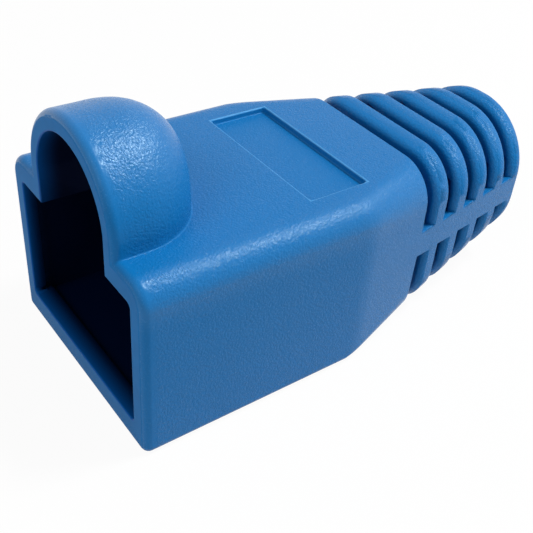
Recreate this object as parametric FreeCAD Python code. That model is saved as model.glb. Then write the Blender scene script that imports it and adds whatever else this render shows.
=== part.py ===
"""Strain relief boot for an RJ45 plug: one soft PVC moulding, all sizes in millimetres.

The boot lies on its flat underside (Z = 0), with the plug mouth facing -Y and the cable leaving at +Y.
Along Y it is a box that takes the plug, a shoulder where the side walls turn in, and a ribbed tail.
A hood over the mouth guards the plug's latch. The model is built from the mouth at Y = 0, and its
last step puts the middle of the footprint at the origin.
"""

import FreeCAD, Part
import math
import os

V = FreeCAD.Vector

# Plug box
BODY_WIDTH = 14.4
BODY_HEIGHT = 10.8
BODY_LENGTH = 14.0          # mouth to the bend where the side walls turn in
TOP_EDGE_RADIUS = 1.35
BOTTOM_EDGE_RADIUS = 0.5
RIM_RADIUS = 0.45           # outer edge of the mouth and of the hood's arch
BEND_RADIUS = 6.0           # side walls, where they turn in

# Mouth and cavity
MOUTH_WIDTH = 12.0
MOUTH_HEIGHT = 7.75
FLOOR_THICKNESS = 1.6       # under the mouth opening
MOUTH_CORNER_RADIUS = 0.3
LIP_RECESS = 0.3            # how far side walls and floor stand back behind the gripping lip
LIP_DEPTH = 0.7             # lip on the side walls
FLOOR_LIP_DEPTH = 1.1
CAVITY_DEPTH = 13.0         # mouth to the funnel that leads down to the cable

# Shoulder and tail
SHOULDER_LENGTH = 5.0       # bend to the first slot
SHOULDER_WIDTH = 12.3       # at the first slot
SHOULDER_EDGE_RADIUS = 2.4
TAIL_LENGTH = 10.8          # first slot to the cable end
TAIL_END_WIDTH = 8.7
TAIL_END_RISE = 0.9         # underside of the cable end above the resting plane
TAIL_END_FLAT = 0.3         # level stretch left on top of the cable end between its round corners
TAIL_END_BEVEL = 0.25
CABLE_BORE_DIAMETER = 6.5

# Flex slots
SLOT_COUNT = 5
SLOT_PITCH = 2.15
SLOT_WIDTH = 0.9
WEB_HEIGHT = 1.8            # solid band at mid height that ties the ribs together
RIB_BEVEL = 0.42            # front edge of each rib

# Latch hood
HOOD_RADIUS = 4.6
HOOD_RISE = 0.55            # top face of the box to the centre of the hood's arch
HOOD_LENGTH = 5.9
HOOD_PLAN_RADIUS = 4.1      # round corners of the closed back, seen from above
HOOD_PROFILE_RADIUS = 3.1   # and seen from the side
HOOD_WALL = 1.05
HOLLOW_BACK_BEVEL = 1.5     # inside of the hood, where its back closes

# Label panel, left bare
PANEL_LENGTH = 9.7          # across the boot
PANEL_WIDTH = 3.85          # along the boot
PANEL_DEPTH = 0.35
PANEL_CORNER_RADIUS = 0.25
PANEL_START = 11.2          # mouth to the panel's front edge

BEND_SECTIONS = 5           # outlines lofted round the bend of the side walls
HOOD_SECTIONS = 6           # outlines lofted round the hood's back
OVERRUN = 1.0               # how far a cutting solid runs past the face it opens

first_slot = BODY_LENGTH + SHOULDER_LENGTH
boot_length = first_slot + TAIL_LENGTH
bend_angle = math.atan((BODY_WIDTH - SHOULDER_WIDTH) / 2 / SHOULDER_LENGTH)
bend_start = BODY_LENGTH - BEND_RADIUS * math.tan(bend_angle / 2)
cable_axis = (TAIL_END_RISE + BODY_HEIGHT) / 2
bore_radius = CABLE_BORE_DIAMETER / 2
mouth_top = FLOOR_THICKNESS + MOUTH_HEIGHT
hood_axis = BODY_HEIGHT + HOOD_RISE


def rounded_section(y, half_width, bottom, top, bottom_radius, top_radius):
    """Closed outline across the boot at station y: four straight sides and four corner arcs."""
    corners = (
        (half_width - bottom_radius, bottom + bottom_radius, bottom_radius, -90),
        (half_width - top_radius, top - top_radius, top_radius, 0),
        (top_radius - half_width, top - top_radius, top_radius, 90),
        (bottom_radius - half_width, bottom + bottom_radius, bottom_radius, 180),
    )
    arcs = []
    for x, z, radius, start in corners:
        turns = [math.radians(start + turn) for turn in (0, 45, 90)]
        points = [V(x + radius * math.cos(turn), y, z + radius * math.sin(turn)) for turn in turns]
        arcs.append(Part.Arc(*points).toShape())
    edges = []
    for arc, following in zip(arcs, arcs[1:] + arcs[:1]):
        side = Part.LineSegment(arc.Vertexes[-1].Point, following.Vertexes[0].Point)
        edges += [arc, side.toShape()]
    return Part.Wire(edges)


def rectangle(y, half_width, bottom, top):
    """Square-cornered outline across the boot at station y."""
    corners = ((-half_width, bottom), (half_width, bottom), (half_width, top), (-half_width, top))
    points = [V(x, y, z) for x, z in corners]
    return Part.makePolygon(points + points[:1])


def block(half_width, y_start, y_end, z_start, z_end):
    """Box symmetric about the boot's middle plane."""
    corner = V(-half_width, y_start, z_start)
    return Part.makeBox(2 * half_width, y_end - y_start, z_end - z_start, corner)


def arch(radius, foot, y_start, y_end):
    """Half-round arch on straight legs, running along Y, with its legs down to the height foot."""
    left = V(-radius, y_start, hood_axis)
    right = V(radius, y_start, hood_axis)
    top = Part.Arc(right, V(0, y_start, hood_axis + radius), left)
    return Part.Face(on_legs(top.toShape(), left, right, foot)).extrude(V(0, y_end - y_start, 0))


def on_legs(top, left, right, foot):
    """Closed outline of a curved top that springs from left and right, on straight legs."""
    corners = [left, V(left.x, left.y, foot), V(right.x, right.y, foot), right]
    sides = [Part.LineSegment(a, b).toShape() for a, b in zip(corners, corners[1:])]
    return Part.Wire([top] + sides)


def squeezed_arch(y, half_width, height, foot):
    """Outline of the hood where its back closes: a half ellipse on straight legs."""
    top = Part.Arc(V(1, 0, 0), V(0, 0, 1), V(-1, 0, 0)).toShape()
    stretch = FreeCAD.Matrix()
    stretch.scale(half_width, 1, height)
    top = top.transformGeometry(stretch)
    top.translate(V(0, y, hood_axis))
    return on_legs(top, V(-half_width, y, hood_axis), V(half_width, y, hood_axis), foot)


def edges_at(shape, y, keep=lambda edge: True):
    """Edges lying wholly in the plane across the boot at station y."""
    return [
        edge
        for edge in shape.Edges
        if abs(edge.BoundBox.YMin - y) < 1e-4 and abs(edge.BoundBox.YMax - y) < 1e-4 and keep(edge)
    ]


def box_body():
    """Straight part that takes the plug, with its front outline rounded."""
    outline = rounded_section(0, BODY_WIDTH / 2, 0, BODY_HEIGHT, BOTTOM_EDGE_RADIUS, TOP_EDGE_RADIUS)
    body = Part.Face(outline).extrude(V(0, bend_start, 0))
    return body.makeFillet(RIM_RADIUS, edges_at(body, 0))


def shoulder():
    """Walls turning in from the box to the first slot, with long edges that grow rounder on the way."""

    def section(y, half_width):
        share = (y - bend_start) / (first_slot - bend_start)
        bottom_radius = BOTTOM_EDGE_RADIUS + share * (SHOULDER_EDGE_RADIUS - BOTTOM_EDGE_RADIUS)
        top_radius = TOP_EDGE_RADIUS + share * (SHOULDER_EDGE_RADIUS - TOP_EDGE_RADIUS)
        return rounded_section(y, half_width, 0, BODY_HEIGHT, bottom_radius, top_radius)

    bend = []
    for step in range(BEND_SECTIONS):
        angle = bend_angle * step / (BEND_SECTIONS - 1)
        inset = BEND_RADIUS * (1 - math.cos(angle))
        bend.append(section(bend_start + BEND_RADIUS * math.sin(angle), BODY_WIDTH / 2 - inset))
    end = section(first_slot, SHOULDER_WIDTH / 2)
    return Part.makeLoft(bend, True).fuse(Part.makeLoft([bend[-1], end], True, True))


def tail():
    """Tapered stem round the cable: ribs with bevelled front edges, tied by a web at mid height."""
    start = rounded_section(
        first_slot, SHOULDER_WIDTH / 2, 0, BODY_HEIGHT, SHOULDER_EDGE_RADIUS, SHOULDER_EDGE_RADIUS
    )
    end_radius = (TAIL_END_WIDTH - TAIL_END_FLAT) / 2
    end = rounded_section(
        boot_length, TAIL_END_WIDTH / 2, TAIL_END_RISE, BODY_HEIGHT, end_radius, end_radius
    )
    stem = Part.makeLoft([start, end], True, True)
    stem = stem.makeChamfer(TAIL_END_BEVEL, edges_at(stem, boot_length))
    web_bottom = cable_axis - WEB_HEIGHT / 2
    web = block(BODY_WIDTH, first_slot, boot_length, web_bottom, web_bottom + WEB_HEIGHT)
    ribs = []
    for index in range(SLOT_COUNT):
        front = first_slot + index * SLOT_PITCH + SLOT_WIDTH
        back = boot_length if index == SLOT_COUNT - 1 else front + SLOT_PITCH - SLOT_WIDTH
        rib = stem.common(block(BODY_WIDTH, front, back, -OVERRUN, BODY_HEIGHT + OVERRUN))
        ribs.append(rib.makeChamfer(RIB_BEVEL, edges_at(rib, front)))
    return stem.common(web).fuse(ribs)


def hood():
    """Outside of the latch hood: a rounded arch over the mouth, squeezed to a closed back."""
    foot = mouth_top
    back_start = HOOD_LENGTH - HOOD_PLAN_RADIUS
    front = arch(HOOD_RADIUS, foot, 0, back_start)
    front_edges = edges_at(front, 0, lambda edge: edge.BoundBox.ZMax > foot + RIM_RADIUS)
    front = front.makeFillet(RIM_RADIUS, front_edges)
    outlines = []
    for step in range(HOOD_SECTIONS):
        angle = math.radians(90) * step / (HOOD_SECTIONS - 1)
        y = back_start + HOOD_PLAN_RADIUS * math.sin(angle)
        half_width = HOOD_RADIUS - HOOD_PLAN_RADIUS * (1 - math.cos(angle))
        bend = max(0, y - HOOD_LENGTH + HOOD_PROFILE_RADIUS)
        drop = HOOD_PROFILE_RADIUS - math.sqrt(max(0, HOOD_PROFILE_RADIUS**2 - bend**2))
        outlines.append(squeezed_arch(y, half_width, HOOD_RADIUS - drop, foot))
    return front.fuse(Part.makeLoft(outlines, True))


def hood_hollow():
    """Inside of the hood: an arch with a bevelled back, open to the front and down into the plug space."""
    back = HOOD_LENGTH - HOOD_WALL
    hollow = arch(HOOD_RADIUS - HOOD_WALL, mouth_top - OVERRUN, -OVERRUN, back)
    back_edges = edges_at(hollow, back, lambda edge: edge.BoundBox.ZMax > mouth_top)
    return hollow.makeChamfer(HOLLOW_BACK_BEVEL, back_edges)


def cavity():
    """Plug space: mouth, wider room behind the gripping lip, funnel and cable bore."""
    half = MOUTH_WIDTH / 2
    corner = MOUTH_CORNER_RADIUS
    outline = rounded_section(-OVERRUN, half, FLOOR_THICKNESS, mouth_top, corner, corner)
    mouth = Part.Face(outline).extrude(V(0, OVERRUN + CAVITY_DEPTH, 0))
    room_half = half + LIP_RECESS
    floor = FLOOR_THICKNESS - LIP_RECESS
    room = block(room_half, LIP_DEPTH, CAVITY_DEPTH, FLOOR_THICKNESS, mouth_top)
    room = room.fuse(block(room_half, FLOOR_LIP_DEPTH, CAVITY_DEPTH, floor, FLOOR_THICKNESS))
    wide = rectangle(CAVITY_DEPTH, room_half, floor, mouth_top)
    narrow = rectangle(first_slot, bore_radius, cable_axis - bore_radius, cable_axis + bore_radius)
    funnel = Part.makeLoft([wide, narrow], True, True)
    bore = Part.makeCylinder(
        bore_radius, TAIL_LENGTH + OVERRUN, V(0, first_slot, cable_axis), V(0, 1, 0)
    )
    return mouth.fuse([room, funnel, bore])


def panel():
    """Shallow recess for a label, sunk in the top face."""
    back = PANEL_START + PANEL_WIDTH
    floor = BODY_HEIGHT - PANEL_DEPTH
    recess = block(PANEL_LENGTH / 2, PANEL_START, back, floor, BODY_HEIGHT + OVERRUN)
    upright = [edge for edge in recess.Edges if edge.BoundBox.ZLength > PANEL_DEPTH]
    return recess.makeFillet(PANEL_CORNER_RADIUS, upright)


def boot():
    """The whole moulding, with its mouth at Y = 0."""
    outside = box_body().fuse([shoulder(), tail(), hood()])
    return outside.cut([cavity(), hood_hollow(), panel()])


if __name__ == "__main__":
    shape = boot()
    shape.translate(V(0, -boot_length / 2, 0))
    if not shape.isValid() or len(shape.Solids) != 1:
        raise ValueError("the boot is not one valid solid")
    os.makedirs("parts", exist_ok=True)
    shape.exportStep("parts/boot.step")
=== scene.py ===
"""Strain relief boot for a network plug: its blue PVC finish, and a plain pale stage for it."""

import math

import bmesh
import bpy
from bpy.props import FloatProperty, FloatVectorProperty, IntProperty, PointerProperty
from bpy.types import Operator, Panel, PropertyGroup
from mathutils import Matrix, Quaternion, Vector
from mathutils.bvhtree import BVHTree


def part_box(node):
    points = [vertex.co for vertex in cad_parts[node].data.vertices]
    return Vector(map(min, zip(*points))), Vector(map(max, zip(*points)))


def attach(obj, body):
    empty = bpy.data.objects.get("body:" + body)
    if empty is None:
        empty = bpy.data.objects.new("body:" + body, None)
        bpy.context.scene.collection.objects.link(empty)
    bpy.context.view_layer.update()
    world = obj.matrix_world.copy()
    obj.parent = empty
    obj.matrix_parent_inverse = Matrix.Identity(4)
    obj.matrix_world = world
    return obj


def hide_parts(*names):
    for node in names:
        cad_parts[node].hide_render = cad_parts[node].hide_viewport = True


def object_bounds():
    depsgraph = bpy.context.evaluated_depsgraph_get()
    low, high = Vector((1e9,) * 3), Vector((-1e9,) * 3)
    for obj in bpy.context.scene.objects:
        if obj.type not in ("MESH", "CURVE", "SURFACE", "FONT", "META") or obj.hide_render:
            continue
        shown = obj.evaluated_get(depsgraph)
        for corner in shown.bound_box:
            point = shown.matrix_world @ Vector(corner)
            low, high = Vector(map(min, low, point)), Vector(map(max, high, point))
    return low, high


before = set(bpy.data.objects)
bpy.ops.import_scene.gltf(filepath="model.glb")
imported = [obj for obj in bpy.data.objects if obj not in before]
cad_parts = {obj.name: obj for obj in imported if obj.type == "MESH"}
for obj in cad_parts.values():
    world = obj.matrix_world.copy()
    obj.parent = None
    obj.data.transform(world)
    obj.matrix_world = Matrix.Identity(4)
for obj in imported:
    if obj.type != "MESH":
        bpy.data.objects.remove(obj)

bl_info = {
    "name": "Strain relief boot",
    "version": (1, 0, 0),
    "blender": (4, 5, 0),
    "location": "View3D > Sidebar > Boot",
    "description": "Finishes the moulded strain relief boot and sets its stage",
    "category": "Object",
}

CAD_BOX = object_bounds()
MM = 0.001

# Places along the boot
MOUTH_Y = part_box("boot")[0].y
BEND_Y = MOUTH_Y + 14.0 * MM
TAIL_Y = MOUTH_Y + 18.95 * MM  # just ahead of the first flex slot
END_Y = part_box("boot")[1].y

# Bounds of the inside: half widths from the middle, heights from the underside, depths from the
# mouth. Each stands a little outside its wall, so that the wall's faces fall within it.
POCKET_HALF_WIDTH = 6.4 * MM
POCKET_FLOOR = 1.2 * MM
POCKET_CEILING = 9.4 * MM
POCKET_DEPTH = 13.0 * MM
FUNNEL_SLOPE = 0.45
FUNNEL_CEILING_SLOPE = 0.5 * FUNNEL_SLOPE
FUNNEL_DEPTH = 18.9 * MM
HOLLOW_RADIUS = 3.62 * MM
HOLLOW_FLOOR = 9.3 * MM
HOLLOW_AXIS = 11.35 * MM
HOLLOW_STRAIGHT = 3.3 * MM
HOLLOW_DEPTH = 4.9 * MM
BORE_RADIUS = 3.4 * MM
BORE_AXIS = 5.85 * MM

# How a face points along the boot, as the Y part of its normal: forward at the front of the rim,
# partly forward on the ribs' bevels, and hardly at all in the bore
FACES_FORWARD = -0.95
RIB_FRONT_TURN = (-0.85, -0.5)
FACES_SIDEWAYS = 0.3
FRONT_REACH = 0.05 * MM  # faces of the front lie no further back than this

# Where fingers polish the boot. Each pair is where a fade starts and where it ends.
CROWN = (12.6 * MM, 14.8 * MM)
LONG_EDGE_HEIGHT = (8.0 * MM, 9.8 * MM)
LONG_EDGE_REACH = (0.6 * MM, 1.9 * MM)
LONG_EDGE_WEAR = 0.6
HALF_WIDTH = 7.2 * MM
SHOULDER_SLOPE = 0.19

# Painted highlight along the thin edge round the label panel, outward from its wall
PANEL_EDGE_INNER = (0.0, 0.03 * MM)
PANEL_EDGE_OUTER = (0.08 * MM, 0.12 * MM)
PANEL_HEIGHT = (10.2 * MM, 10.3 * MM)
PANEL_EDGE_STRENGTH = 0.55

# Recipe of the grain and the colour
GRAIN_START = (0.6, 1.4)  # as shares of the smooth front's width
PEBBLE_SIZE = 1.6  # against the grain's size
WRINKLE_SHARE = 0.8
PEBBLE_SHARE = 0.5
FRONT_GRAIN = 0.1
WANDER_SCALE = 180.0
FRONT_WANDER_SCALE = 900.0
WRINKLE_TINT = 0.16
TINT_RANGE = (0.8, 1.2)
FRONT_TINT_RANGE = (0.85, 1.15)
ROUGHNESS_CHANGE = 0.12
BLUE_SHEEN = (0.7, 0.93, 1.0, 1.0)
WHITE = (1.0, 1.0, 1.0, 1.0)

# Painted shade in the flex slots, by depth in millimetres, and the painted contact shadow, a dark
# line where the boot meets the floor
SLOT_SHADE = (0.27, 0.62)
BOTTOM_EDGE_START = (0.0, 0.04 * MM)
BOTTOM_EDGE_END = (0.05 * MM, 0.35 * MM)


class MouldingSizes(PropertyGroup):
    """Sizes of the moulding's edges and of the grain in its surface."""

    merge_distance: FloatProperty(
        name="Merge distance", description="Corners closer than this are one corner",
        default=0.002 * MM, unit="LENGTH", precision=6,
    )
    flat_angle: FloatProperty(
        name="Flat angle", description="Facets that turn less than this are one face",
        default=math.radians(0.2), subtype="ANGLE",
    )
    edge_angle: FloatProperty(
        name="Edge angle", description="An edge sharper than this is rounded",
        default=math.radians(32.0), subtype="ANGLE",
    )
    edge_round: FloatProperty(
        name="Edge rounding",
        description="Width of the rounding that the mould leaves on an edge",
        default=0.09 * MM, unit="LENGTH", precision=6,
    )
    edge_segments: IntProperty(
        name="Edge segments", description="Facets across a rounded edge", default=2, min=1, max=6,
    )
    smooth_angle: FloatProperty(
        name="Smooth angle",
        description="Facets that turn less than this are shaded as one surface",
        default=math.radians(50.0), subtype="ANGLE",
    )
    grain_size: FloatProperty(
        name="Grain size", description="Distance from one grain to the next",
        default=0.09 * MM, unit="LENGTH", precision=6,
    )
    grain_height: FloatProperty(
        name="Grain height", description="Height of the grain above its valleys",
        default=0.042 * MM, unit="LENGTH", precision=6,
    )
    panel_size: FloatVectorProperty(
        name="Panel size", description="Length and width of the recessed label panel",
        default=(9.7 * MM, 3.85 * MM), size=2, unit="LENGTH", precision=5,
    )
    panel_start: FloatProperty(
        name="Panel start", description="From the mouth to the front edge of the label panel",
        default=11.2 * MM, unit="LENGTH", precision=5,
    )
    pocket_fade: FloatProperty(
        name="Pocket fade",
        description="Depth over which the pocket turns dark, from the mouth in",
        default=1.3 * MM, unit="LENGTH", precision=5,
    )
    cable_end_fade: FloatProperty(
        name="Cable end fade",
        description="Depth over which the bore turns dark, from the cable end in",
        default=3.9 * MM, unit="LENGTH", precision=5,
    )
    rib_bevel: FloatProperty(
        name="Rib bevel", description="Width of the bevel along the front of each rib",
        default=0.42 * MM, unit="LENGTH", precision=5,
    )
    rib_turn: FloatProperty(
        name="Rib turn", description="How far the bevel of a rib is shaded as turning forward",
        default=math.radians(75.0), subtype="ANGLE",
    )
    smooth_front: FloatProperty(
        name="Smooth front", description="Width of the band behind the mouth that has no grain",
        default=0.65 * MM, unit="LENGTH", precision=6,
    )


class MouldingColours(PropertyGroup):
    """Colour and gloss of the soft PVC, and the colours of its painted shade and painted
    highlight.
    """

    plastic: FloatVectorProperty(
        name="Plastic", description="Colour of the soft PVC",
        default=(0.0035, 0.13, 0.365), size=3, min=0.0, max=1.0, subtype="COLOR",
    )
    # Painted highlight along the label panel's thin edge
    panel_highlight: FloatVectorProperty(
        name="Rubbed edges",
        description="Colour of the label panel's thin edge, rubbed pale by handling",
        default=(0.1, 0.36, 0.68), size=3, subtype="COLOR", min=0.0, max=1.0,
    )
    # Painted shade deep inside the pocket and the bore
    pocket: FloatVectorProperty(
        name="Pocket",
        description="Colour deep inside the plug pocket, where hardly any light comes",
        default=(0.0002, 0.003, 0.018), size=3, min=0.0, max=1.0, subtype="COLOR",
    )
    # Painted shade, in the flex slots and along the foot of the walls
    slots: FloatVectorProperty(
        name="Slots", description="Colour at the bottom of the flex slots",
        default=(0.0003, 0.008, 0.07), size=3, min=0.0, max=1.0, subtype="COLOR",
    )
    # Painted shade just inside the mouth and the cable end, lighter than deep in
    shade: FloatVectorProperty(
        name="Shade",
        description="Colour just inside the mouth, where light comes only off the plastic",
        default=(0.001, 0.085, 0.33), size=3, min=0.0, max=1.0, subtype="COLOR",
    )
    tint_change: FloatProperty(
        name="Tint change", description="How far the colour wanders over the moulding",
        default=0.12, min=0.0, max=1.0,
    )
    roughness: FloatProperty(
        name="Roughness",
        description="Roughness of the grained surface",
        default=0.26, min=0.0, max=1.0,
    )
    gloss: FloatProperty(
        name="Gloss",
        description="Specular level of the grained surface",
        default=0.15, min=0.0, max=1.0,
    )
    worn_gloss: FloatProperty(
        name="Worn gloss",
        description="Specular level where fingers have polished the hood and the long edges",
        default=0.48, min=0.0, max=1.0,
    )
    matt_roughness: FloatProperty(
        name="Matt roughness", description="Roughness of the rim's front and of the inside",
        default=0.45, min=0.0, max=1.0,
    )
    front_gloss: FloatProperty(
        name="Gloss of the rim", description="Specular level of the rim's matt front",
        default=0.04, min=0.0, max=1.0,
    )
    pocket_gloss: FloatProperty(
        name="Gloss of the inside", description="Specular level inside the pocket and the bore",
        default=0.08, min=0.0, max=1.0,
    )
    slot_gloss: FloatProperty(
        name="Gloss in the slots",
        description="Specular level deep in the flex slots, where little light reaches",
        default=0.03, min=0.0, max=1.0,
    )


class StageSettings(PropertyGroup):
    """Floor, lights and camera."""

    floor_size: FloatProperty(
        name="Floor size", description="Length of the floor's side", default=2.0, unit="LENGTH",
    )
    floor_colour: FloatVectorProperty(
        name="Floor colour", description="Colour of the floor",
        default=(0.65, 0.65, 0.65), size=3, min=0.0, max=1.0, subtype="COLOR",
    )
    floor_glow: FloatProperty(
        name="Floor glow", description="How far the camera sees the floor as plain white",
        default=0.95, min=0.0, max=1.0,
    )
    surround: FloatProperty(
        name="Surround",
        description="Strength of the light from all round",
        default=0.18, min=0.0,
    )
    key_power: FloatProperty(
        name="Key power",
        description="Power of the lamp overhead",
        default=0.58, min=0.0, unit="POWER",
    )
    key_direction: FloatVectorProperty(
        name="Key direction", description="Where the lamp overhead stands, seen from the boot",
        default=(0.17, 0.45, 0.88), size=3, subtype="DIRECTION",
    )
    back_power: FloatProperty(
        name="Back power",
        description="Power of the lamp behind the cable end",
        default=0.28, min=0.0, unit="POWER",
    )
    back_direction: FloatVectorProperty(
        name="Back direction",
        description="Where the lamp behind the cable end stands, seen from the boot",
        default=(0.45, 0.8, 0.4), size=3, subtype="DIRECTION",
    )
    front_power: FloatProperty(
        name="Front power",
        description="Power of the lamp in front of the mouth",
        default=0.25, min=0.0, unit="POWER",
    )
    front_direction: FloatVectorProperty(
        name="Front direction",
        description="Where the lamp in front of the mouth stands, seen from the boot",
        default=(0.15, -0.75, 0.64), size=3, subtype="DIRECTION",
    )
    key_size: FloatProperty(
        name="Key size",
        description="Side of the square lamp overhead",
        default=0.045, unit="LENGTH",
    )
    soft_size: FloatProperty(
        name="Soft size",
        description="Side of the square lamps behind and in front",
        default=0.14, unit="LENGTH",
    )
    lamp_distance: FloatProperty(
        name="Lamp distance",
        description="From the boot to each lamp",
        default=0.25, unit="LENGTH",
    )
    camera_aim: FloatVectorProperty(
        name="Camera aim", description="Point that the camera looks at",
        default=(2.85 * MM, -2.18 * MM, 4.51 * MM), size=3, subtype="TRANSLATION", precision=5,
    )
    camera_distance: FloatProperty(
        name="Camera distance",
        description="From the aim to the camera",
        default=50.0 * MM, unit="LENGTH",
    )
    camera_azimuth: FloatProperty(
        name="Camera azimuth",
        description="Turn of the camera round the boot, from the mouth towards +X",
        default=math.radians(48.77), subtype="ANGLE",
    )
    camera_elevation: FloatProperty(
        name="Camera elevation", description="Height of the camera above the floor, as an angle",
        default=math.radians(37.2), subtype="ANGLE",
    )
    camera_roll: FloatProperty(
        name="Camera roll", description="Turn of the camera about its own line of sight",
        default=math.radians(6.71), subtype="ANGLE",
    )
    camera_lens: FloatProperty(
        name="Lens", description="Focal length in millimetres", default=57.39, min=1.0,
    )
    camera_shift: FloatVectorProperty(
        name="Shift", description="Shift of the frame, as shares of its width",
        default=(-0.0629, 0.0), size=2,
    )


class Field:
    """A shader socket that takes part in arithmetic: each operation adds its Math node."""

    def __init__(self, graph, socket):
        self.graph = graph
        self.socket = socket

    def __add__(self, other):
        return self.graph.math("ADD", self, other)

    def __sub__(self, other):
        return self.graph.math("SUBTRACT", self, other)

    def __mul__(self, other):
        return self.graph.math("MULTIPLY", self, other)

    def __truediv__(self, other):
        return self.graph.math("DIVIDE", self, other)

    def __rsub__(self, other):
        return self.graph.math("SUBTRACT", other, self)

    __radd__ = __add__
    __rmul__ = __mul__

    def __rtruediv__(self, other):
        return self.graph.math("DIVIDE", other, self)


class Graph:
    """The node tree of one material or of the world."""

    def __init__(self, tree):
        self.tree = tree
        tree.nodes.clear()

    def node(self, kind, settings=None, inputs=None, output=0):
        """Add a node: its type, its settings, then the values or links of its sockets."""
        made = self.tree.nodes.new(kind)
        for name, value in (settings or {}).items():
            setattr(made, name, value)
        for name, value in (inputs or {}).items():
            if isinstance(value, Field):
                self.tree.links.new(value.socket, made.inputs[name])
            else:
                made.inputs[name].default_value = value
        return Field(self, made.outputs[output]) if made.outputs else made

    def math(self, operation, *operands):
        """Math node with this operation."""
        inputs = dict(enumerate(operands))
        return self.node("ShaderNodeMath", {"operation": operation}, inputs)

    def mix(self, factor, first, second):
        """First colour where the factor is 0, second colour where it is 1."""
        inputs = {0: factor, 6: first, 7: second}
        return self.node("ShaderNodeMix", {"data_type": "RGBA"}, inputs, output=2)

    def blend(self, factor, first, second):
        """First surface where the factor is 0, second surface where it is 1."""
        return self.node("ShaderNodeMixShader", inputs={0: factor, 1: first, 2: second})

    def place(self):
        """Object coordinates, and their X, Y and Z."""
        place = self.node("ShaderNodeTexCoord", output="Object")
        parts = (
            self.node("ShaderNodeSeparateXYZ", inputs={"Vector": place}, output=axis)
            for axis in ("X", "Y", "Z")
        )
        return (place, *parts)

    def step(self, value, low, high):
        """Smooth rise from 0 at low to 1 at high."""
        settings = {"interpolation_type": "SMOOTHSTEP"}
        inputs = {"Value": value, "From Min": low, "From Max": high}
        return self.node("ShaderNodeMapRange", settings, inputs)


def new_material(name):
    """Material with an empty node tree, and its graph."""
    material = bpy.data.materials.new(name)
    material.use_nodes = True
    return material, Graph(material.node_tree)


def tints(colour, shares):
    """This colour at each of these shares of its brightness, opaque."""
    return [tuple(min(1.0, share * part) for part in colour) + (1.0,) for share in shares]


def leather_grain(graph, place, y, sizes):
    """Wrinkles of a fine leather grain, and the grain's height, which is low along the mouth."""
    start, end = (MOUTH_Y + sizes.smooth_front * share for share in GRAIN_START)
    grained = graph.step(y, start, end)
    pebbles = graph.node(
        "ShaderNodeTexVoronoi",
        {"feature": "SMOOTH_F1"},
        {
            "Vector": place,
            "Scale": 1.0 / (PEBBLE_SIZE * sizes.grain_size),
            "Smoothness": 0.6,
            "Randomness": 1.0,
        },
        output="Distance",
    )
    wrinkles = graph.node(
        "ShaderNodeTexNoise",
        inputs={
            "Vector": place,
            "Scale": 1.0 / sizes.grain_size,
            "Detail": 2.0,
            "Distortion": 0.7,
        },
        output="Fac",
    )
    height = wrinkles * WRINKLE_SHARE - pebbles * PEBBLE_SHARE
    return wrinkles, height * (grained * (1.0 - FRONT_GRAIN) + FRONT_GRAIN)


def panel_edge(graph, x, y, z, sizes):
    """1 along the thin rounded edge round the label panel, and 0 elsewhere."""
    length, width = sizes.panel_size
    across = graph.math("ABSOLUTE", x) - length / 2
    from_middle = y - (MOUTH_Y + sizes.panel_start + width / 2)
    along = graph.math("ABSOLUTE", from_middle) - width / 2
    outward = graph.math("MAXIMUM", across, along)
    band = graph.step(outward, *PANEL_EDGE_INNER) * (1.0 - graph.step(outward, *PANEL_EDGE_OUTER))
    return band * graph.step(z, *PANEL_HEIGHT)


def polish(graph, x, y, z):
    """1 where fingers polish the hood's crown, less along the long top edges, and 0 elsewhere."""
    crown = graph.step(z, *CROWN)
    behind_bend = graph.math("MAXIMUM", y - BEND_Y, 0.0)
    from_edge = HALF_WIDTH - behind_bend * SHOULDER_SLOPE - graph.math("ABSOLUTE", x)
    near_edge = 1.0 - graph.step(from_edge, *LONG_EDGE_REACH)
    long_edge = near_edge * graph.step(z, *LONG_EDGE_HEIGHT)
    return graph.math("MAXIMUM", crown, long_edge * LONG_EDGE_WEAR)


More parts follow.
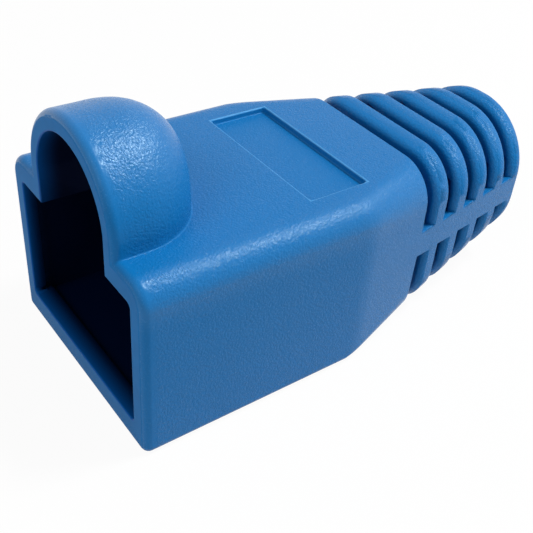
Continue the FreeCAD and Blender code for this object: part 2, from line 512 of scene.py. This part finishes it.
def grained_pvc(sizes, colours):
    """Soft PVC with a fine leather grain, a painted highlight round the panel, painted shade in
    the flex slots and a painted contact shadow along the foot of the walls.
    """
    material, graph = new_material("grained_pvc")
    place, x, y, z = graph.place()
    wrinkles, grain = leather_grain(graph, place, y, sizes)
    slots = (*colours.slots, 1.0)

    wander = graph.node(
        "ShaderNodeTexNoise",
        inputs={"Vector": place, "Scale": WANDER_SCALE, "Detail": 3.0},
        output="Fac",
    )
    shade = (wander - 0.5) * colours.tint_change + (wrinkles - 0.5) * WRINKLE_TINT
    colour = graph.mix(shade + 0.5, *tints(colours.plastic, TINT_RANGE))
    # Painted highlight: a pale line along the label panel's edge
    panel_highlight = panel_edge(graph, x, y, z, sizes) * PANEL_EDGE_STRENGTH
    colour = graph.mix(panel_highlight, colour, (*colours.panel_highlight, 1.0))
    # Painted shade: the flex slots turn dark with depth, and their gloss drops there
    sunk = graph.node("ShaderNodeAttribute", {"attribute_name": "slot_depth"}, output="Fac")
    painted_slot_shade = graph.step(sunk, *SLOT_SHADE)
    colour = graph.mix(painted_slot_shade, colour, slots)
    # Painted contact shadow: a dark line low on the walls, just above the floor
    painted_contact_shadow = graph.step(z, *BOTTOM_EDGE_START) * (1.0 - graph.step(z, *BOTTOM_EDGE_END))
    colour = graph.mix(painted_contact_shadow, colour, slots)

    roughness = (wrinkles - 0.5) * ROUGHNESS_CHANGE + colours.roughness
    bump = graph.node(
        "ShaderNodeBump",
        inputs={"Height": grain, "Distance": sizes.grain_height, "Strength": 1.0},
        output="Normal",
    )
    plain, worn, sheltered = (
        graph.node(
            "ShaderNodeBsdfPrincipled",
            inputs={
                "Base Color": colour,
                "Roughness": roughness,
                "Specular IOR Level": gloss,
                "Specular Tint": BLUE_SHEEN,
                "Normal": bump,
            },
        )
        for gloss in (colours.gloss, colours.worn_gloss, colours.slot_gloss)
    )
    surface = graph.blend(polish(graph, x, y, z), plain, worn)
    surface = graph.blend(painted_slot_shade, surface, sheltered)
    graph.node("ShaderNodeOutputMaterial", inputs={"Surface": surface})
    return material


def pocket_pvc(sizes, colours):
    """The same PVC on the inside, smooth from the mould's core, with painted shade: darker away
    from both ends.
    """
    material, graph = new_material("pocket_pvc")
    y = graph.place()[2]
    # Painted shade: from the mouth and from the cable end inwards the colour turns dark
    from_mouth = (y - MOUTH_Y) / sizes.pocket_fade
    from_cable_end = (END_Y - y) / sizes.cable_end_fade
    lit = graph.math("MAXIMUM", 1.0 - graph.math("MINIMUM", from_mouth, from_cable_end), 0.0)
    colour = graph.mix(1.0 - lit * lit, (*colours.shade, 1.0), (*colours.pocket, 1.0))
    surface = graph.node(
        "ShaderNodeBsdfPrincipled",
        inputs={
            "Base Color": colour,
            "Roughness": colours.matt_roughness,
            "Specular IOR Level": colours.pocket_gloss,
        },
    )
    graph.node("ShaderNodeOutputMaterial", inputs={"Surface": surface})
    return material


def front_pvc(colours):
    """The same PVC on the front of the rim, which the mould leaves matt and without grain."""
    material, graph = new_material("front_pvc")
    wander = graph.node(
        "ShaderNodeTexNoise",
        inputs={"Vector": graph.place()[0], "Scale": FRONT_WANDER_SCALE, "Detail": 3.0},
        output="Fac",
    )
    surface = graph.node(
        "ShaderNodeBsdfPrincipled",
        inputs={
            "Base Color": graph.mix(wander, *tints(colours.plastic, FRONT_TINT_RANGE)),
            "Roughness": colours.matt_roughness,
            "Specular IOR Level": colours.front_gloss,
        },
    )
    graph.node("ShaderNodeOutputMaterial", inputs={"Surface": surface})
    return material


def on_front(centre, normal):
    """Whether a face is part of the flat front of the rim."""
    return normal.y < FACES_FORWARD and centre.y < MOUTH_Y + FRONT_REACH


def in_pocket(centre, normal):
    """Whether a face lies on the inside: pocket, funnel, hood or cable bore."""
    if on_front(centre, normal):
        return False
    x, z = abs(centre.x), centre.z
    depth = centre.y - MOUTH_Y
    in_funnel = max(0.0, depth - POCKET_DEPTH)
    pocket = (
        x < POCKET_HALF_WIDTH - FUNNEL_SLOPE * in_funnel
        and POCKET_FLOOR + FUNNEL_SLOPE * in_funnel < z
        and z < POCKET_CEILING - FUNNEL_CEILING_SLOPE * in_funnel
        and depth < FUNNEL_DEPTH
    )
    closing_in = max(0.0, depth - HOLLOW_STRAIGHT)
    hollow = (
        math.hypot(x, max(0.0, z - HOLLOW_AXIS)) < HOLLOW_RADIUS - closing_in
        and HOLLOW_FLOOR < z
        and depth < HOLLOW_DEPTH
    )
    bore = (
        depth > FUNNEL_DEPTH
        and math.hypot(x, z - BORE_AXIS) < BORE_RADIUS
        and abs(normal.y) < FACES_SIDEWAYS
    )
    return pocket or hollow or bore


def on_rib_front(centre, normal):
    """Whether a face is part of the bevel along the front of a rib."""
    least, most = RIB_FRONT_TURN
    return centre.y > TAIL_Y and least < normal.y < most and not in_pocket(centre, normal)


def round_rib_fronts(mesh, bevel, steepest):
    """Turn the corner normals of the ribs' front bevels, so that each shades as a round edge."""
    normals = [corner.vector.copy() for corner in mesh.corner_normals]
    depths = mesh.attributes["slot_depth"].data
    forward = Vector((0.0, -1.0, 0.0))
    for face in mesh.polygons:
        if not on_rib_front(face.center, face.normal):
            continue
        outward = Vector((face.normal.x, 0.0, face.normal.z)).normalized()
        for corner in face.loop_indices:
            depth = depths[mesh.loops[corner].vertex_index].value
            turn = steepest * min(1.0, depth * MM / bevel)
            normals[corner] = outward * math.cos(turn) + forward * math.sin(turn)
    mesh.normals_split_custom_set(normals)


def mark_outer_edges(mesh, sharpest):
    """Give bevel weight to the sharp edges, apart from those inside and on the ribs' fronts."""
    shell = bmesh.new()
    shell.from_mesh(mesh)
    weight = shell.edges.layers.float.new("bevel_weight_edge")
    for edge in shell.edges:
        sides = [(face.calc_center_median(), face.normal) for face in edge.link_faces]
        inside = all(in_pocket(*side) for side in sides)
        rib_front = any(on_rib_front(*side) for side in sides)
        edge[weight] = float(edge.calc_face_angle() > sharpest and not inside and not rib_front)
    shell.to_mesh(mesh)
    shell.free()


def slot_depths(mesh, start):
    """Store how far each corner behind start lies below the smooth outline of the tail, in mm."""
    tail = bmesh.new()
    for vertex in mesh.vertices:
        if vertex.co.y > start:
            tail.verts.new(vertex.co)
    bmesh.ops.convex_hull(tail, input=tail.verts)
    outline = BVHTree.FromBMesh(tail)
    tail.free()
    depths = mesh.attributes.new("slot_depth", "FLOAT", "POINT")
    for vertex, depth in zip(mesh.vertices, depths.data):
        *_, distance = outline.find_nearest(vertex.co)
        depth.value = distance / MM if vertex.co.y > start else 0.0


def only(piece):
    """Select this piece alone and make it the active one."""
    bpy.ops.object.select_all(action="DESELECT")
    piece.select_set(True)
    bpy.context.view_layer.objects.active = piece


class BOOT_OT_moulding(Operator):
    """Dress the moulding: its edges rounded as a mould leaves them, in grained soft PVC"""

    bl_idname = "boot.moulding"
    bl_label = "Moulding"

    def execute(self, context):
        sizes = context.scene.boot_sizes
        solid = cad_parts["boot"]
        only(solid)
        bpy.ops.object.duplicate()
        skin = context.active_object
        skin.name = "boot_skin"
        skin.data.name = "boot_skin"
        for key in list(skin.keys()):
            if key.startswith("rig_"):
                del skin[key]
        skin.parent = None

        bpy.ops.object.mode_set(mode="EDIT")
        bpy.ops.mesh.select_all(action="SELECT")
        bpy.ops.mesh.remove_doubles(threshold=sizes.merge_distance)
        bpy.ops.mesh.dissolve_limited(angle_limit=sizes.flat_angle)
        bpy.ops.object.mode_set(mode="OBJECT")

        mark_outer_edges(skin.data, sizes.edge_angle)
        bevel = skin.modifiers.new("edges", "BEVEL")
        bevel.limit_method = "WEIGHT"
        bevel.width = sizes.edge_round
        bevel.segments = sizes.edge_segments
        bevel.use_clamp_overlap = False
        bpy.ops.object.modifier_apply(modifier="edges")
        bpy.ops.object.shade_smooth_by_angle(angle=sizes.smooth_angle)
        flats = skin.modifiers.new("flats", "WEIGHTED_NORMAL")
        flats.keep_sharp = True
        bpy.ops.object.modifier_apply(modifier="flats")

        slot_depths(skin.data, TAIL_Y)
        round_rib_fronts(skin.data, sizes.rib_bevel, sizes.rib_turn)
        self.paint(skin.data, sizes, context.scene.boot_colours)
        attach(skin, "root")
        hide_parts("boot")
        return {"FINISHED"}

    def paint(self, mesh, sizes, colours):
        """Give each face its finish: grained, inside or front of the rim."""
        finishes = (
            grained_pvc(sizes, colours),
            pocket_pvc(sizes, colours),
            front_pvc(colours),
        )
        grained, inside, front = range(len(finishes))
        mesh.materials.clear()
        for finish in finishes:
            mesh.materials.append(finish)
        for face in mesh.polygons:
            face.material_index = grained
            if in_pocket(face.center, face.normal):
                face.material_index = inside
            elif on_front(face.center, face.normal):
                face.material_index = front


def plain_floor(colour, glow):
    """Matt floor that the camera sees nearly white, with the boot's shadow on it."""
    material, graph = new_material("stage_floor")
    rays = seen_rays(graph)
    matt = graph.node("ShaderNodeBsdfDiffuse", inputs={"Color": (*colour, 1.0)})
    bright = graph.node("ShaderNodeEmission", inputs={"Color": WHITE, "Strength": 1.0})
    surface = graph.blend(rays * glow, matt, bright)
    graph.node("ShaderNodeOutputMaterial", inputs={"Surface": surface})
    return material


def seen_rays(graph):
    """1 for rays from the camera, straight or by way of gloss or glass, and otherwise 0."""
    camera = graph.node("ShaderNodeLightPath", output="Is Camera Ray")
    glossy = graph.node("ShaderNodeLightPath", output="Is Glossy Ray")
    clear = graph.node("ShaderNodeLightPath", output="Is Transmission Ray")
    return graph.math("MAXIMUM", camera, graph.math("MAXIMUM", glossy, clear))


class BOOT_OT_stage(Operator):
    """Set the floor, the light and the camera"""

    bl_idname = "boot.stage"
    bl_label = "Stage"

    def execute(self, context):
        stage = context.scene.boot_stage
        self.floor(stage)
        self.surround(context.scene, stage)
        self.lamp("key", stage.key_direction, stage.key_power, stage.key_size, stage.lamp_distance)
        for name, direction, power in (
            ("back_light", stage.back_direction, stage.back_power),
            ("front_light", stage.front_direction, stage.front_power),
        ):
            soft = self.lamp(name, direction, power, stage.soft_size, stage.lamp_distance)
            soft.visible_glossy = False
        self.camera(context.scene, stage)
        context.scene.view_settings.view_transform = "Standard"
        return {"FINISHED"}

    def floor(self, stage):
        bpy.ops.mesh.primitive_plane_add(size=stage.floor_size, location=(0.0, 0.0, CAD_BOX[0].z))
        floor = bpy.context.active_object
        floor.name = "stage_floor"
        floor.data.materials.append(plain_floor(stage.floor_colour, stage.floor_glow))

    def surround(self, scene, stage):
        world = bpy.data.worlds.new("surround")
        world.use_nodes = True
        scene.world = world
        graph = Graph(world.node_tree)
        seen = seen_rays(graph)
        strength = seen + (1.0 - seen) * stage.surround
        light = graph.node("ShaderNodeBackground", inputs={"Color": WHITE, "Strength": strength})
        graph.node("ShaderNodeOutputWorld", inputs={"Surface": light})

    def lamp(self, name, direction, power, size, distance):
        direction = Vector(direction).normalized()
        bpy.ops.object.light_add(type="AREA", location=direction * distance)
        lamp = bpy.context.active_object
        lamp.name = name
        lamp.rotation_euler = direction.to_track_quat("Z", "Y").to_euler()
        lamp.data.size = size
        lamp.data.energy = power
        return lamp

    def camera(self, scene, stage):
        azimuth = stage.camera_azimuth
        elevation = stage.camera_elevation
        sight = Vector((
            -math.sin(azimuth) * math.cos(elevation),
            math.cos(azimuth) * math.cos(elevation),
            -math.sin(elevation),
        ))
        turn = sight.to_track_quat("-Z", "Y") @ Quaternion((0.0, 0.0, 1.0), stage.camera_roll)
        place = Vector(stage.camera_aim) - sight * stage.camera_distance
        bpy.ops.object.camera_add(location=place, rotation=turn.to_euler())
        camera = bpy.context.active_object
        camera.name = "camera"
        camera.data.lens = stage.camera_lens
        camera.data.shift_x, camera.data.shift_y = stage.camera_shift
        camera.data.clip_start = 1.0 * MM
        scene.camera = camera


class BOOT_PT_sidebar(Panel):
    """Sizes, colours and steps of the boot"""

    bl_label = "Strain relief boot"
    bl_idname = "BOOT_PT_sidebar"
    bl_space_type = "VIEW_3D"
    bl_region_type = "UI"
    bl_category = "Boot"

    def draw(self, context):
        for group, operator in (
            (context.scene.boot_sizes, BOOT_OT_moulding),
            (context.scene.boot_colours, None),
            (context.scene.boot_stage, BOOT_OT_stage),
        ):
            box = self.layout.box()
            for name in group.__annotations__:
                box.prop(group, name)
            if operator:
                box.operator(operator.bl_idname)


CLASSES = (
    MouldingSizes,
    MouldingColours,
    StageSettings,
    BOOT_OT_moulding,
    BOOT_OT_stage,
    BOOT_PT_sidebar,
)


def register():
    for kind in CLASSES:
        bpy.utils.register_class(kind)
    bpy.types.Scene.boot_sizes = PointerProperty(type=MouldingSizes)
    bpy.types.Scene.boot_colours = PointerProperty(type=MouldingColours)
    bpy.types.Scene.boot_stage = PointerProperty(type=StageSettings)


def unregister():
    del bpy.types.Scene.boot_stage
    del bpy.types.Scene.boot_colours
    del bpy.types.Scene.boot_sizes
    for kind in reversed(CLASSES):
        bpy.utils.unregister_class(kind)


def main():
    register()
    bpy.ops.boot.moulding()
    bpy.ops.boot.stage()


if __name__ == "__main__":
    main()
